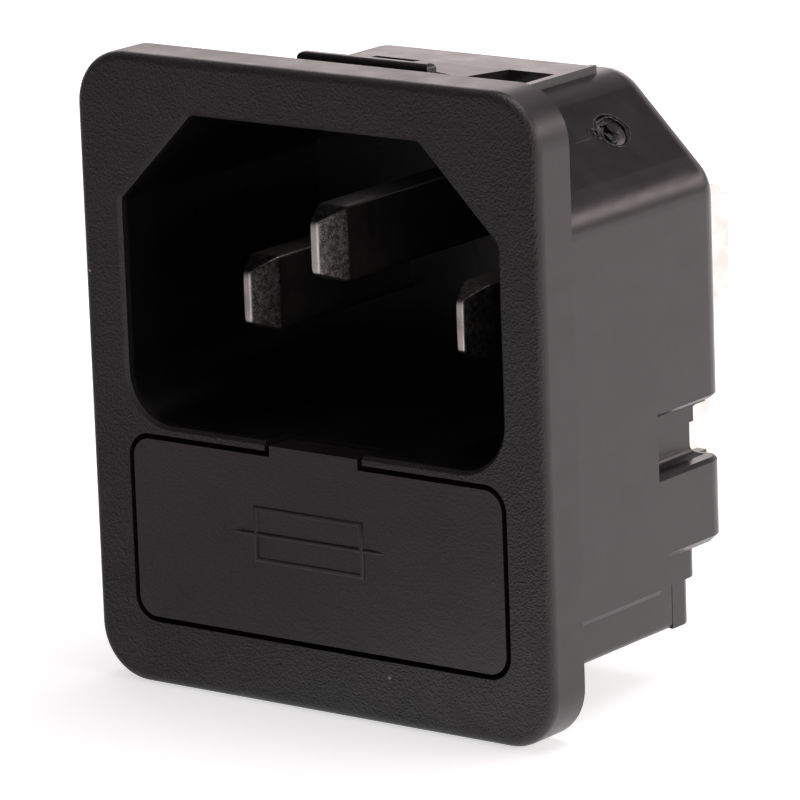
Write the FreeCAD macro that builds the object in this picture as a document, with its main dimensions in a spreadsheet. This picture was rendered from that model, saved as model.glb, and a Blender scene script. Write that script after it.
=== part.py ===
"""Panel-mounted appliance inlet with a fuse drawer, modelled as a parametric FreeCAD document.

Frame, in millimetres: the origin is the centre of the bezel on its rear face, where the bezel
meets the panel. +X is to the right seen from the front, +Y runs through the panel towards the
terminals, and +Z is up.
"""
import math
import FreeCAD, Part
import os
import re
import Sketcher

Vector = FreeCAD.Vector
doc = FreeCAD.newDocument("fused_inlet")

# Every driving size, in millimetres: a name, its value and what it measures.
SIZES = [
    # Front of the bezel, stacked from its upper edge to its lower edge.
    ("top_margin", 3.0, "bezel above the plug cavity"),
    ("cavity_height", 17.0, "plug cavity, top to bottom"),
    ("bridge", 0.5, "bridge between the cavity and the drawer"),
    ("slot_height", 10.4, "recess for the drawer front, top to bottom"),
    ("bottom_margin", 3.5, "bezel below the drawer"),
    ("bezel_lip", 1.5, "bezel beyond the body at each side"),
    ("bezel_thick", 2.8, "bezel, front face to panel face"),
    ("bezel_corner", 3.0, "radius of the bezel's four corners"),
    ("bezel_edge", 0.5, "radius round the front rim of the bezel"),
    # Plug cavity and the shell round it.
    ("cavity_width", 24.6, "plug cavity, across"),
    ("cavity_chamfer", 4.9, "the two cut upper corners that key the plug"),
    ("cavity_corner", 2.8, "radius of the two lower corners"),
    ("cavity_depth", 17.0, "front face to the base that carries the pins"),
    ("mouth_bevel", 0.2, "bevel round the mouth of the cavity"),
    ("key_round", 0.5, "radius of the cavity's cut corners"),
    ("side_wall", 1.2, "wall at each side of the cavity"),
    ("roof_wall", 0.85, "wall above the cavity"),
    ("base_thick", 1.55, "base that carries the pins"),
    ("shell_chamfer", 5.4, "cut upper corners of the body"),
    ("shell_fold", 2.5, "radius of the folds at each end of those cuts"),
    ("shell_back_round", 1.5, "radius round the back of the body"),
    ("skirt_lift", 2.45, "tunnel floor to the lower edge of each side panel"),
    ("step_lift", 4.25, "tunnel floor to that edge behind its step"),
    ("step_short", 6.1, "back of the body to that step"),
    ("skirt_rim", 0.4, "bevel along the lower edge of each side panel"),
    # Fuse tunnel below the cavity.
    ("tunnel_wall", 1.0, "side and floor walls of the tunnel"),
    ("tunnel_short", 2.25, "back of the body to the back of the rear cover"),
    ("tunnel_round", 0.8, "radius round the back of the tunnel"),
    ("tunnel_edge", 0.4, "radius along the tunnel's lower edges"),
    ("rail_rise", 0.45, "rails standing out beside the tunnel"),
    ("rail_lift", 2.65, "tunnel floor to the lower edge of those rails"),
    ("ledge_side", 0.9, "ledge behind the drawer front at each side"),
    ("ledge_top", 0.7, "the same ledge at the top"),
    ("ledge_floor", 0.35, "the same ledge at the bottom"),
    ("slot_corner", 1.4, "radius of the recess's corners"),
    ("slot_depth", 1.9, "depth of the recess for the drawer front"),
    # Drawer.
    ("tongue_width", 5.8, "finger tongue on the drawer front"),
    ("tongue_inset", 0.2, "floor of the cavity to the top of the tongue"),
    ("front_gap", 0.3, "gap all round the drawer front"),
    ("seat_gap", 0.1, "gap behind the drawer front"),
    ("tray_play", 0.2, "running clearance of the tray in the bore"),
    ("tray_wall", 1.15, "side walls of the tray, beyond the ends of a fuse"),
    ("tray_short", 0.75, "end of the tray to the rear cover"),
    ("saddle_gap", 0.4, "gap between the saddle and each clip"),
    ("clip_room", 0.2, "clearance between the drawer and the clips' lips"),
    # Notches, snap arms, beads and gate.
    ("notch_short", 6.25, "back of the body to the front of each side notch"),
    ("notch_rise", 0.6, "floor of the cavity to the top of the notch"),
    ("notch_height", 3.25, "notch, top to bottom"),
    ("notch_wall", 0.6, "wall left between the notch and the tunnel bore"),
    ("notch_rim", 0.2, "bevel round the notch's opening"),
    ("notch_corner", 0.7, "radius at the corners above and below the notch"),
    ("bite_depth", 1.55, "bite in the back of the wall that the notch leaves"),
    ("bite_inset", 0.6, "top of the notch to the top of the bite"),
    ("bite_round", 0.7, "radius at the two corners of the bite"),
    ("notch_root", 0.5, "radius along the foot of the notch"),
    ("arm_width", 5.8, "snap arm, across"),
    ("arm_margin", 2.2, "flat of the roof beside the opening round the arm"),
    ("arm_gap", 0.8, "slit in front of the snap lug"),
    ("arm_length", 9.0, "front of the lug to the root of the upper arm"),
    ("low_arm_length", 6.7, "the same for the lower arm"),
    ("arm_ramp", 4.0, "length of the ramp behind the lug"),
    ("ramp_heel", 0.32, "rise of the arm at the foot of that ramp"),
    ("ramp_share", 0.3, "lug above the top of its ramp"),
    ("lug_width", 8.5, "snap lug, across"),
    ("lug_front", 2.6, "bezel rear face to the lug, the thickest panel"),
    ("lug_thick", 0.8, "lug, front to back"),
    ("lug_rise", 1.9, "lug above the wall that carries it"),
    ("lug_round", 0.3, "radius over the top of the lug"),
    ("bead_margin", 0.7, "bead to the fold at the edge of the roof"),
    ("bead_width", 0.35, "bead along the roof, across"),
    ("bead_rise", 0.4, "its height above the roof"),
    ("bead_short", 2.75, "back of the body to the end of the bead"),
    ("gate_across", 2.0, "moulding gate recess, across"),
    ("gate_depth", 0.22, "moulding gate recess, depth"),
    ("gate_short", 5.55, "back of the body to the gate"),
    ("gate_shift", 0.37, "gate towards the roof from the middle of the cut"),
    ("sprue_across", 0.67, "broken sprue left in the gate, across"),
    ("sprue_rise", 0.29, "its height, half above the face and half below"),
    # Pins and tabs.
    ("pin_pitch", 14.0, "line pin to neutral pin"),
    ("pin_lift", 6.55, "floor of the cavity to the line and neutral pins"),
    ("earth_rise", 4.0, "earth pin above the other two"),
    ("pin_thick", 2.0, "pins, across"),
    ("pin_tall", 4.0, "pins, top to bottom"),
    ("pin_fit", 0.02, "clearance round a pin in the base"),
    ("pin_reach", 12.6, "base to the tips of line and neutral"),
    ("earth_lead", 3.0, "how much earlier the earth pin makes contact"),
    ("tip_length", 1.0, "length of the coined tip"),
    ("tip_thick", 1.3, "flat end of a pin, across"),
    ("tip_tall", 2.2, "flat end of a pin, top to bottom"),
    ("tip_round", 0.22, "radius on the edges of the tip"),
    ("pin_stub", 0.6, "full pin section standing out behind the base"),
    ("tab_thick", 0.8, "quick-connect tabs, thickness"),
    ("tab_wide", 6.3, "quick-connect tabs, width"),
    ("tab_reach", 9.45, "back of the body to the ends of the tabs"),
    ("tab_point", 1.0, "corner cut at the end of a tab, along it"),
    ("tab_nip", 0.7, "corner cut at the end of a tab, across it"),
    ("tab_hole", 1.6, "detent hole in a tab"),
    ("tab_hole_back", 4.2, "end of a tab to its hole"),
    # Fuses.
    ("fuse_stand", 3.55, "rear cover to the axis of the fuse in use"),
    ("fuse_pitch", 6.5, "axis of the fuse in use to the axis of the spare"),
    ("fuse_length", 20.0, "fuse, end to end"),
    ("cap_diameter", 5.2, "end caps, outside"),
    ("cap_length", 5.3, "end caps, length"),
    ("cap_wall", 0.28, "end caps, thickness"),
    ("cap_bevel", 0.2, "bevel round the end of a cap"),
    ("glass_diameter", 4.6, "glass tube, outside"),
    ("glass_bore", 3.4, "glass tube, inside"),
    ("cap_fit", 0.02, "clearance of the glass in a cap"),
    ("wire_diameter", 0.24, "fuse wire"),
    ("fuse_play", 0.06, "clearance round a fuse in the drawer"),
    ("fuse_end_play", 0.15, "clearance at each end of a fuse"),
    # Clips, rear cover, rivets and the line's strips.
    ("clip_inset", 2.4, "end of a fuse to the middle of its clip"),
    ("clip_width", 3.6, "fuse clips, across"),
    ("clip_gap", 0.08, "clearance of a clip leaf to the cap"),
    ("clip_thick", 0.45, "clip strip thickness"),
    ("clip_grip", 1.3, "clip leaves, fuse axis to the start of the lip"),
    ("clip_lip", 1.2, "clip lips, length"),
    ("clip_flare", 0.7, "clip lips, how far they open"),
    ("clip_bend", 0.7, "outer bend radius of a clip"),
    ("cover_thick", 1.35, "rear cover, front to back"),
    ("cover_rim", 0.5, "rim of the rear cover round the tunnel end"),
    ("cover_fit", 0.05, "clearance of the rear cover in the housing"),
    ("rivet_diameter", 1.6, "rivet shank"),
    ("rivet_head", 3.0, "rivet heads, across"),
    ("rivet_rise", 0.35, "rivet heads, height"),
    ("rivet_bevel", 0.24, "bevel round a rivet head"),
    ("rivet_fit", 0.02, "clearance round a rivet or spigot"),
    ("link_inside", 2.4, "strip beyond the line pin's axis, towards the middle"),
    ("link_outside", 1.8, "strip beyond the rivet's axis, towards the side"),
    ("link_over", 2.6, "that strip above the pin's centre"),
    ("link_under", 2.6, "that strip below the rivet"),
    ("link_start", 0.4, "roof of the bore to the start of its joggle"),
    ("link_fall", 1.5, "height of that joggle"),
    ("foot_over", 2.3, "foot of the line tab above the rivet"),
    ("foot_side", 2.2, "foot of the line tab beyond the rivet"),
    ("blade_inset", 2.1, "rivet to the blade of the line tab, towards the middle"),
    ("blade_lift", 0.775, "axis of the line tab above the rivet"),
    ("spigot_head", 3.2, "riveted end of the line pin, across"),
    ("spigot_rise", 0.49, "its height over the strip"),
    # Modelling allowances.
    ("merge", 0.2, "how far a feature runs into the one that it joins"),
    ("past", 1.0, "how far a cut runs past the face that it opens"),
]

# Places that follow from them: heights from the bezel's centre, half widths from the middle,
# and depths from the bezel's rear face.
PLACES = [
    ("bezel_reach", "(@top_margin + @cavity_height + @bridge + @slot_height + @bottom_margin) / 2",
     "bezel centre to its upper and lower edges"),
    ("cavity_top", "@bezel_reach - @top_margin", "roof of the cavity"),
    ("cavity_sill", "@cavity_top - @cavity_height", "floor of the cavity"),
    ("slot_top", "@cavity_sill - @bridge", "upper edge of the drawer's recess"),
    ("slot_bottom", "@slot_top - @slot_height", "its lower edge"),
    ("bore_top", "@slot_top - @ledge_top", "roof of the tunnel bore"),
    ("bore_floor", "@slot_bottom + @ledge_floor", "floor of the tunnel bore"),
    ("fuse_axis", "(@bore_top + @bore_floor) / 2", "axis of both fuses"),
    ("tunnel_floor", "@bore_floor - @tunnel_wall", "underside of the tunnel"),
    ("rail_edge", "@tunnel_floor + @rail_lift", "lower edge of the rails"),
    ("skirt_edge", "@tunnel_floor + @skirt_lift", "lower edge of the side panels"),
    ("step_edge", "@tunnel_floor + @step_lift", "that edge behind its step"),
    ("shell_top", "@cavity_top + @roof_wall", "roof of the body"),
    ("notch_top", "@cavity_sill + @notch_rise", "top of the side notches"),
    ("notch_floor", "@notch_top - @notch_height", "bottom of the side notches"),
    ("pin_row", "@cavity_sill + @pin_lift", "axis of the line and neutral pins"),
    ("earth_row", "@pin_row + @earth_rise", "axis of the earth pin"),
    ("blade_axis", "@fuse_axis + @blade_lift", "axis of the line tab"),
    ("cavity_half", "@cavity_width / 2", "half the cavity"),
    ("shell_half", "@cavity_half + @side_wall", "half the body"),
    ("roof_half", "@shell_half - @shell_chamfer", "half the roof between its folds"),
    ("bay_half", "@roof_half - @arm_margin", "half the opening round a snap arm"),
    ("bezel_half", "@shell_half + @bezel_lip", "half the bezel"),
    ("fuse_room", "@fuse_length / 2 + @fuse_end_play", "half the room for a fuse"),
    ("tray_half", "@fuse_room + @tray_wall", "half the tray"),
    ("bore_half", "@tray_half + @tray_play", "half the tunnel bore"),
    ("tunnel_half", "@bore_half + @tunnel_wall", "half the tunnel"),
    ("rail_half", "@tunnel_half + @rail_rise", "middle to the outside of a rail"),
    ("slot_half", "@bore_half + @ledge_side", "half the drawer's recess"),
    ("notch_side", "@bore_half + @notch_wall", "middle to the floor of a side notch"),
    ("clip_side", "@fuse_length / 2 - @clip_inset", "middle to each fuse clip"),
    ("saddle_half", "@clip_side - @clip_width / 2 - @saddle_gap", "half the fuse saddle"),
    ("blade_side", "@clip_side - @blade_inset", "middle to the blade of the line tab"),
    ("cap_room", "@cap_diameter / 2 + @fuse_play", "radius of the drawer's cradles"),
    ("leaf_in", "@cap_diameter / 2 + @clip_gap", "fuse axis to the inside of a clip leaf"),
    ("leaf_out", "@leaf_in + @clip_thick", "fuse axis to the outside of a clip leaf"),
    ("slot_floor", "@slot_depth - @bezel_thick", "floor of the drawer's recess"),
    ("panel_back", "@slot_floor - @seat_gap", "back of the drawer front"),
    ("cavity_back", "@cavity_depth - @bezel_thick", "front of the base"),
    ("shell_back", "@cavity_back + @base_thick", "back of the body"),
    ("tunnel_back", "@shell_back - @tunnel_short", "back of the rear cover"),
    ("cover_front", "@tunnel_back - @cover_thick", "front of the rear cover"),
    ("fuse_row", "@cover_front - @fuse_stand", "axis of the fuse in use"),
    ("spare_row", "@fuse_row - @fuse_pitch", "axis of the spare fuse"),
    ("tray_end", "@cover_front - @tray_short", "end of the tray"),
    ("lip_start", "@fuse_row - @clip_grip", "clip leaves, start of the lips"),
    ("lip_end", "@lip_start - @clip_lip", "clip leaves, ends of the lips"),
    ("step_back", "@shell_back - @step_short", "step in the side panels"),
    ("notch_front", "@shell_back - @notch_short", "front of the side notches"),
    ("lug_back", "@lug_front + @lug_thick", "back of a snap lug"),
    ("upper_root", "@lug_front + @arm_length", "root of the upper arm"),
    ("lower_root", "@lug_front + @low_arm_length", "root of the lower arm"),
    ("pin_tip", "@cavity_back - @pin_reach", "tips of the line and neutral pins"),
    ("earth_tip", "@pin_tip - @earth_lead", "tip of the earth pin"),
    ("tab_tip", "@shell_back + @tab_reach", "ends of the tabs"),
]

sheet_of = {}


def name_cells(sheet, rows):
    """Fills a sheet with names, contents and notes, and gives each content cell its name."""
    for row, (alias, content, note) in enumerate(rows, start=1):
        sheet.set("A%d" % row, alias)
        sheet.set("B%d" % row, content)
        sheet.set("C%d" % row, note)
        sheet.setAlias("B%d" % row, alias)
        sheet_of[alias] = sheet.Name
    doc.recompute()


def bound(text):
    """An expression on the sheets: each @name stands for that named size or place."""
    return re.sub(r"@(\w+)", lambda found: sheet_of[found.group(1)] + "." + found.group(1), text)


dims = doc.addObject("Spreadsheet::Sheet", "dims")
name_cells(dims, [(alias, str(number), note) for alias, number, note in SIZES])
places = doc.addObject("Spreadsheet::Sheet", "places")
for place in PLACES:
    sheet_of[place[0]] = "places"
name_cells(places, [(alias, "=" + bound(formula).replace("places.", ""), note)
                    for alias, formula, note in PLACES])


# ---- small tools ---------------------------------------------------------------------------

def value(text):
    """The number that an expression on the sheets comes to."""
    return float(dims.evalExpression(bound(text)))


def new_body(label):
    """An empty body that will become one sub-part."""
    body = doc.addObject("PartDesign::Body", label)
    body.Label = label
    return body


def new_sketch(body, name, role, offset="0"):
    """A sketch on one of the body's own planes, moved along the plane's normal."""
    plane = [item for item in body.Origin.OriginFeatures if item.Role == role][0]
    sketch = body.newObject("Sketcher::SketchObject", name)
    sketch.AttachmentSupport = [(plane, "")]
    sketch.MapMode = "FlatFace"
    sketch.setExpression("AttachmentOffset.Base.z", bound(offset))
    return sketch


def facing_sketch(body, name, depth):
    """A sketch parallel to the bezel at a depth; its normal points to the front."""
    return new_sketch(body, name, "XZ_Plane", "-(" + depth + ")")


def side_sketch(body, name, place="0"):
    """A sketch seen from the side: depth across, height up; its normal points along +X."""
    return new_sketch(body, name, "YZ_Plane", place)


def fix_point(sketch, geometry, end, across, along):
    """Holds one point of a sketch at two expressions."""
    for kind, text in (("DistanceX", across), ("DistanceY", along)):
        index = sketch.addConstraint(Sketcher.Constraint(kind, -1, 1, geometry, end, value(text)))
        sketch.setExpression("Constraints[%d]" % index, bound(text))


def draw_outline(sketch, corners):
    """A closed outline of straight lines through corners given as pairs of expressions."""
    points = [Vector(value(across), value(along), 0) for across, along in corners]
    first = sketch.GeometryCount
    total = len(points)
    for index, point in enumerate(points):
        sketch.addGeometry(Part.LineSegment(point, points[(index + 1) % total]), False)
    for index in range(total):
        following = first + (index + 1) % total
        sketch.addConstraint(Sketcher.Constraint("Coincident", first + index, 2, following, 1))
    for index, (across, along) in enumerate(corners):
        fix_point(sketch, first + index, 1, across, along)


def draw_box(sketch, left, right, low, high):
    """A rectangle between four expressions."""
    draw_outline(sketch, [(left, low), (right, low), (right, high), (left, high)])


def draw_circle(sketch, across, along, diameter):
    """A circle whose centre and diameter are expressions."""
    centre = Vector(value(across), value(along), 0)
    circle = sketch.addGeometry(Part.Circle(centre, Vector(0, 0, 1), value(diameter) / 2), False)
    fix_point(sketch, circle, 3, across, along)
    index = sketch.addConstraint(Sketcher.Constraint("Diameter", circle, value(diameter)))
    sketch.setExpression("Constraints[%d]" % index, bound(diameter))


def draw_flare(sketch, across, along, radius, sign):
    """A quarter round that widens a cut at its open end, upwards or downwards by the sign."""
    inner, outer = across + " - " + radius, across + " + @past"
    level = along + sign + radius
    corners = [(inner, along), (outer, along), (outer, level), (across, level)]
    points = [Vector(value(first), value(second), 0) for first, second in corners]
    for start, end in zip(points, points[1:]):
        sketch.addGeometry(Part.LineSegment(start, end), False)
    start, turn, open_end, shut_end = (0, 1, 1, 2) if "-" in sign else (3, 4, 2, 1)
    circle = Part.Circle(Vector(value(inner), value(level), 0), Vector(0, 0, 1), value(radius))
    arc = sketch.addGeometry(
        Part.ArcOfCircle(circle, start * math.pi / 2, turn * math.pi / 2), False)
    sketch.addConstraint(Sketcher.Constraint("Coincident", 0, 2, 1, 1))
    sketch.addConstraint(Sketcher.Constraint("Coincident", 1, 2, 2, 1))
    sketch.addConstraint(Sketcher.Constraint("Coincident", 2, 2, arc, open_end))
    sketch.addConstraint(Sketcher.Constraint("Coincident", arc, shut_end, 0, 1))
    for index, (first, second) in enumerate(corners[:3]):
        fix_point(sketch, index, 1, first, second)
    fix_point(sketch, arc, 3, inner, level)


def mirrored(outline):
    """An outline closed by its mirror image across the middle line."""
    return outline + [("-(" + across + ")", along) for across, along in reversed(outline)]


def pad(body, sketch, length, backwards=False, both=False):
    """Material along the sketch's normal, against it, or half each way."""
    feature = body.newObject("PartDesign::Pad", sketch.Name + "_pad")
    feature.Profile = sketch
    feature.setExpression("Length", bound(length))
    feature.Reversed = backwards
    feature.Midplane = both
    sketch.Visibility = False
    doc.recompute()
    return feature


def pocket(body, sketch, length, backwards=False, both=False):
    """A cut against the sketch's normal, along it, or half each way; it must remove material."""
    before = body.Shape.Volume
    feature = body.newObject("PartDesign::Pocket", sketch.Name + "_cut")
    feature.Profile = sketch
    feature.setExpression("Length", bound(length))
    feature.Reversed = backwards
    feature.Midplane = both
    sketch.Visibility = False
    doc.recompute()
    if body.Shape.Volume >= before - 1e-6:
        raise RuntimeError("nothing was cut by " + feature.Name)
    return feature


def near(first, second, tolerance=0.02):
    return abs(first - second) < tolerance


def dress(body, kind, name, sizes, wanted):
    """Rounds or bevels the body's edges for which wanted(box, middle) holds."""
    carrier = body.Tip
    names = ["Edge%d" % index for index, edge in enumerate(carrier.Shape.Edges, start=1)
             if wanted(edge.BoundBox, edge.CenterOfMass)]
    if not names:
        raise RuntimeError("no edge found for " + name)
    feature = body.newObject(kind, name)
    feature.Base = (carrier, names)
    for size, text in sizes.items():
        feature.setExpression(size, bound(text))
    doc.recompute()
    if "Invalid" in feature.State:
        raise RuntimeError(name + " could not be made")
    return feature


def fillet(body, name, radius, wanted):
    """Rounds the picked edges."""
    return dress(body, "PartDesign::Fillet", name, {"Radius": radius}, wanted)


def bevel(body, name, size, wanted):
    """Cuts the picked edges at 45 degrees."""
    return dress(body, "PartDesign::Chamfer", name, {"Size": size}, wanted)


def runs_along(box, axis):
    """True for an edge that is straight along one axis."""
    spans = {"x": box.XLength, "y": box.YLength, "z": box.ZLength}
    return spans[axis] > 0.05 and all(spans[other] < 0.01 for other in spans if other != axis)


# ---- housing: one black moulding with bezel, plug cavity, fuse tunnel and snap arms ----------

housing = new_body("housing")

# Body behind the bezel: the cavity's keyed outline carried back, with soft folds.
sketch = facing_sketch(housing, "shell", "0")
draw_outline(sketch, mirrored([
    ("@shell_half", "@skirt_edge"),
    ("@shell_half", "@shell_top - @shell_chamfer"),
    ("@roof_half", "@shell_top"),
]))
pad(housing, sketch, "@shell_back", backwards=True)
fillet(housing, "folds", "@shell_fold",
       lambda box, mid: runs_along(box, "y") and mid.z > 0)
fillet(housing, "back_round", "@shell_back_round",
       lambda box, mid: near(box.YMin, value("@shell_back")) and near(box.YLength, 0)
       and mid.z > value("@skirt_edge") + 0.1)

# The lower edge of each side panel steps up towards the back.
sketch = side_sketch(housing, "skirt_step")
draw_box(sketch, "@step_back", "@shell_back + @past", "@skirt_edge - @past", "@step_edge")
pocket(housing, sketch, "@shell_half * 2 + @past", both=True)

bevel(housing, "skirt_rims", "@skirt_rim",
      lambda box, mid: (near(box.ZLength, 0) and near(mid.z, value("@step_edge"))
                        and box.XLength > value("@shell_half"))
      or (near(abs(mid.x), value("@shell_half"))
          and ((runs_along(box, "y") and near(mid.z, value("@skirt_edge")))
               or (runs_along(box, "z") and near(mid.y, value("@step_back"))))))

# Rails beside the tunnel under that step, then the tunnel itself.
sketch = facing_sketch(housing, "rails", "@step_back - @past")
draw_box(sketch, "-@rail_half", "@rail_half", "@rail_edge", "@step_edge + @merge")
pad(housing, sketch, "@tunnel_back - @step_back + @past", backwards=True)
fillet(housing, "rail_ends", "@tunnel_round",
       lambda box, mid: runs_along(box, "z") and near(mid.y, value("@tunnel_back"))
       and near(abs(mid.x), value("@rail_half")))
sketch = facing_sketch(housing, "tunnel", "0")
draw_box(sketch, "-@tunnel_half", "@tunnel_half", "@tunnel_floor", "@rail_edge + @merge")
pad(housing, sketch, "@cover_front - @cover_rim - @cover_fit", backwards=True)
fillet(housing, "tunnel_edges", "@tunnel_edge",
       lambda box, mid: runs_along(box, "y") and near(mid.z, value("@tunnel_floor")))

# Bezel.
sketch = facing_sketch(housing, "bezel", "0")
draw_box(sketch, "-@bezel_half", "@bezel_half", "-@bezel_reach", "@bezel_reach")
pad(housing, sketch, "@bezel_thick")
fillet(housing, "bezel_corners", "@bezel_corner",
       lambda box, mid: runs_along(box, "y") and near(abs(mid.x), value("@bezel_half")))
fillet(housing, "bezel_rim", "@bezel_edge",
       lambda box, mid: near(box.YMax, -value("@bezel_thick")) and box.YLength < 0.01)

# Plug cavity.
sketch = facing_sketch(housing, "cavity", "-@bezel_thick")
draw_outline(sketch, mirrored([
    ("@cavity_half", "@cavity_sill"),
    ("@cavity_half", "@cavity_top - @cavity_chamfer"),
    ("@cavity_half - @cavity_chamfer", "@cavity_top"),
]))
pocket(housing, sketch, "@cavity_depth")
fillet(housing, "cavity_corners", "@cavity_corner",
       lambda box, mid: runs_along(box, "y") and near(mid.z, value("@cavity_sill"))
       and near(abs(mid.x), value("@cavity_half")))
fillet(housing, "cavity_keys", "@key_round",
       lambda box, mid: runs_along(box, "y") and box.YMax > 1 and mid.z > 0
       and abs(mid.x) < value("@cavity_half") + 0.02 and mid.z < value("@cavity_top") + 0.02
       and box.YMin < -value("@bezel_thick") + 0.1)
bevel(housing, "cavity_mouth", "@mouth_bevel",
      lambda box, mid: near(box.YMax, -value("@bezel_thick")) and box.YLength < 0.01
      and abs(box.XMax) < value("@cavity_half") + 0.05
      and abs(box.XMin) < value("@cavity_half") + 0.05)

# Recess for the drawer front, with a gap in the sill for its tongue.
sketch = facing_sketch(housing, "slot", "-@bezel_thick")
draw_box(sketch, "-@slot_half", "@slot_half", "@slot_bottom", "@slot_top")
pocket(housing, sketch, "@slot_depth")
fillet(housing, "slot_corners", "@slot_corner",
       lambda box, mid: runs_along(box, "y") and near(abs(mid.x), value("@slot_half"))
       and mid.y < 0)
sketch = facing_sketch(housing, "tongue_gap", "-@bezel_thick")
draw_box(sketch, "-@tongue_width / 2 - @front_gap", "@tongue_width / 2 + @front_gap",
         "@slot_top - @merge", "@cavity_sill + @merge")
pocket(housing, sketch, "@slot_depth")

# Tunnel bore, open to the back, where the rear cover closes it.
sketch = facing_sketch(housing, "bore", "-@bezel_thick")
draw_box(sketch, "-@bore_half", "@bore_half", "@bore_floor", "@bore_top")
pocket(housing, sketch, "@bezel_thick + @shell_back + @past")

# Slots for the three pins through the base.
sketch = facing_sketch(housing, "pin_slots", "@shell_back")
for centre, row_height in (("-@pin_pitch / 2", "@pin_row"), ("@pin_pitch / 2", "@pin_row"),
                           ("0", "@earth_row")):
    draw_box(sketch,
             centre + " - @pin_thick / 2 - @pin_fit", centre + " + @pin_thick / 2 + @pin_fit",
             row_height + " - @pin_tall / 2 - @pin_fit", row_height + " + @pin_tall / 2 + @pin_fit")
pocket(housing, sketch, "@base_thick + @merge", backwards=True)

# Notch in the back edge of each side, and a rounded bite through the wall that is left in it.
for side, sign in (("left", "-"), ("right", "")):
    sketch = side_sketch(housing, side + "_notch", sign + "(@shell_half + @past)")
    draw_box(sketch, "@notch_front", "@shell_back + @past", "@notch_floor", "@notch_top")
    pocket(housing, sketch, "@shell_half + @past - @notch_side", backwards=(sign == "-"))
bevel(housing, "notch_rims", "@notch_rim",
      lambda box, mid: near(abs(mid.x), value("@shell_half"))
      and ((runs_along(box, "y") and (near(mid.z, value("@notch_top"))
                                      or near(mid.z, value("@notch_floor"))))
           or (runs_along(box, "z") and near(mid.y, value("@notch_front")))))
fillet(housing, "notch_roots", "@notch_root",
       lambda box, mid: runs_along(box, "y") and near(mid.z, value("@notch_floor"))
       and near(abs(mid.x), value("@notch_side")))
for side, sign in (("left", "-"), ("right", "")):
    outside = sign + "(@shell_half + @past)"
    for end, edge, way in (("upper", "@notch_top", " + "), ("lower", "@notch_floor", " - ")):
        sketch = side_sketch(housing, side + "_" + end + "_flare", outside)
        draw_flare(sketch, "@shell_back", edge, "@notch_corner", way)
        pocket(housing, sketch, "@shell_half + @past - @notch_side", backwards=(sign == "-"))
    sketch = side_sketch(housing, side + "_bite", outside)
    draw_box(sketch, "@shell_back - @bite_depth", "@shell_back + @past",
             "@notch_floor", "@notch_top - @bite_inset")
    pocket(housing, sketch, "@shell_half + @past - @bore_half + @merge", backwards=(sign == "-"))
fillet(housing, "bite_corners", "@bite_round",
       lambda box, mid: near(box.YLength, 0) and near(box.ZLength, 0)
       and near(mid.y, value("@shell_back - @bite_depth")) and abs(mid.x) > value("@bore_half")
       and (near(mid.z, value("@notch_top - @bite_inset")) or near(mid.z, value("@notch_floor"))))


def cut_snap_arm(name, root, offset, depth):
    """A U-shaped opening that frees one T-headed arm of a horizontal wall."""
    sketch = new_sketch(housing, name, "XY_Plane", offset)
    right = [
        ("@bay_half", "@lug_front - @arm_gap"),
        ("@bay_half", root),
        ("@arm_width / 2", root),
        ("@arm_width / 2", "@lug_back"),
        ("@lug_width / 2", "@lug_back"),
        ("@lug_width / 2", "@lug_front"),
    ]
    draw_outline(sketch, mirrored(right))
    pocket(housing, sketch, depth)


def add_snap_lug(name, foot, top, wall, sign, root):
    """The lug across the end of an arm, rounded over its top, and the ramps back to the root."""
    sketch = side_sketch(housing, name)
    draw_box(sketch, "@lug_front", "@lug_back", foot, top)
    pad(housing, sketch, "@lug_width", both=True)
    fillet(housing, name + "_top", "@lug_round",
           lambda box, mid: near(mid.z, value(top)) and box.ZLength < 0.01
           and box.YMin > value("@lug_front") - 0.02 and box.YMax < value("@lug_back") + 0.02)
    sketch = side_sketch(housing, name + "_ramp")
    draw_outline(sketch, [
        ("@lug_back - @merge", wall),
        (root, wall),
        ("@lug_back + @arm_ramp", wall + sign + "@ramp_heel"),
        ("@lug_back - @merge", wall + sign + "(@lug_rise - @ramp_share)"),
    ])
    pad(housing, sketch, "@arm_width", both=True)


cut_snap_arm("upper_arm", "@upper_root", "@shell_top + @past", "@roof_wall + @past * 1.5")
add_snap_lug("upper_lug", "@cavity_top", "@shell_top + @lug_rise", "@shell_top", " + ",
             "@upper_root")
cut_snap_arm("lower_arm", "@lower_root", "@bore_floor + @past / 2", "@tunnel_wall + @past")
add_snap_lug("lower_lug", "@bore_floor", "@tunnel_floor - @lug_rise", "@tunnel_floor", " - ",
             "@lower_root")

# Thin bead along the right of the roof.
sketch = facing_sketch(housing, "bead", "0")
draw_box(sketch, "@roof_half - @bead_margin - @bead_width / 2",
         "@roof_half - @bead_margin + @bead_width / 2",
         "@shell_top - @merge", "@shell_top + @bead_rise")
pad(housing, sketch, "@shell_back - @bead_short", backwards=True)


def place_on_cut_corner(sketch):
    """Turns a sketch from the side plane on to the right-hand cut corner, at the gate."""
    sketch.AttachmentOffset = FreeCAD.Placement(Vector(), FreeCAD.Rotation(Vector(1, 0, 0), -45))
    sketch.setExpression("AttachmentOffset.Base.y",
                         bound("@shell_top - @shell_chamfer / 2 + @gate_shift"))
    sketch.setExpression("AttachmentOffset.Base.z",
                         bound("@shell_half - @shell_chamfer / 2 - @gate_shift"))


# Moulding gate: a shallow round recess with the broken sprue in it.
sketch = side_sketch(housing, "gate")
place_on_cut_corner(sketch)
draw_circle(sketch, "@shell_back - @gate_short", "0", "@gate_across")
pocket(housing, sketch, "@gate_depth")
sketch = side_sketch(housing, "sprue")
place_on_cut_corner(sketch)
draw_circle(sketch, "@shell_back - @gate_short - @gate_across / 8", "0", "@sprue_across")
pad(housing, sketch, "@sprue_rise * 2", both=True)


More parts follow.
